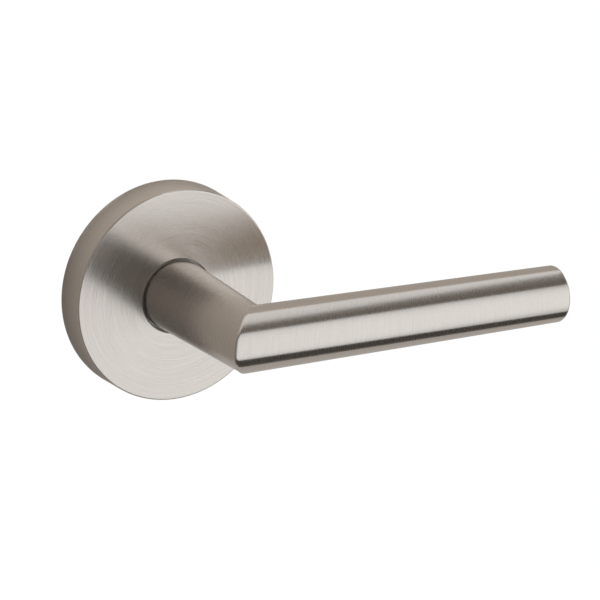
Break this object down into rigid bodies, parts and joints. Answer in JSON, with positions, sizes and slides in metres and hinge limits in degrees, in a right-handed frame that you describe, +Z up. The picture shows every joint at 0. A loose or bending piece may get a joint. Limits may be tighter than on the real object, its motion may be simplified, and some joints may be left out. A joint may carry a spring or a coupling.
{
  "type": "door lever handle",
  "caption": "Round-bar door lever with a mitred elbow on a round rose, sprung to level, with its square spindle and through bolts.",
  "frame": {"origin": "centre of the cross bore on the door's face, on the spindle's axis", "axes": "+Y along the spindle into the door, +X along the grip, +Z up"},
  "size_m": [0.1376, 0.1117, 0.066],
  "materials": {
    "satin_nickel": "brushed, satin nickel plated",
    "zinc_plated_steel": "bright zinc plated",
    "spring_steel": "drawn wire, lightly oiled",
    "black_steel": "black oxide",
    "acetal": "moulded, natural white",
    "die_cast_zinc": "bare die casting"
  },
  "bodies": {
    "rose": {"mounting_plate": "die_cast_zinc", "rose_cover": "satin_nickel", "rose_snap_ring": "spring_steel", "bearing_sleeve": "zinc_plated_steel", "front_bush": "acetal", "rear_bush": "acetal", "wave_washer": "spring_steel", "thrust_washer": "zinc_plated_steel", "return_spring": "spring_steel", "spring_peg": "zinc_plated_steel", "bolt_post_left": "zinc_plated_steel", "bolt_post_right": "zinc_plated_steel", "through_bolt_left": "zinc_plated_steel", "through_bolt_right": "zinc_plated_steel"},
    "lever": {"lever": "satin_nickel", "lever_set_screw": "black_steel", "drive_hub": "zinc_plated_steel", "stop_cam": "zinc_plated_steel", "hub_circlip": "black_steel", "spindle": "zinc_plated_steel", "spindle_pin": "zinc_plated_steel"}
  },
  "joints": [
    {"name": "lever_turn", "type": "hinge", "parent": "rose", "child": "lever", "pos_m": [0, 0, 0], "axis": [0, 1, 0], "range_deg": [-48, 48], "stiffness_Nm_per_rad": 1.6, "springref_deg": -4.58, "deforming": ["return_spring"]}
  ]
}
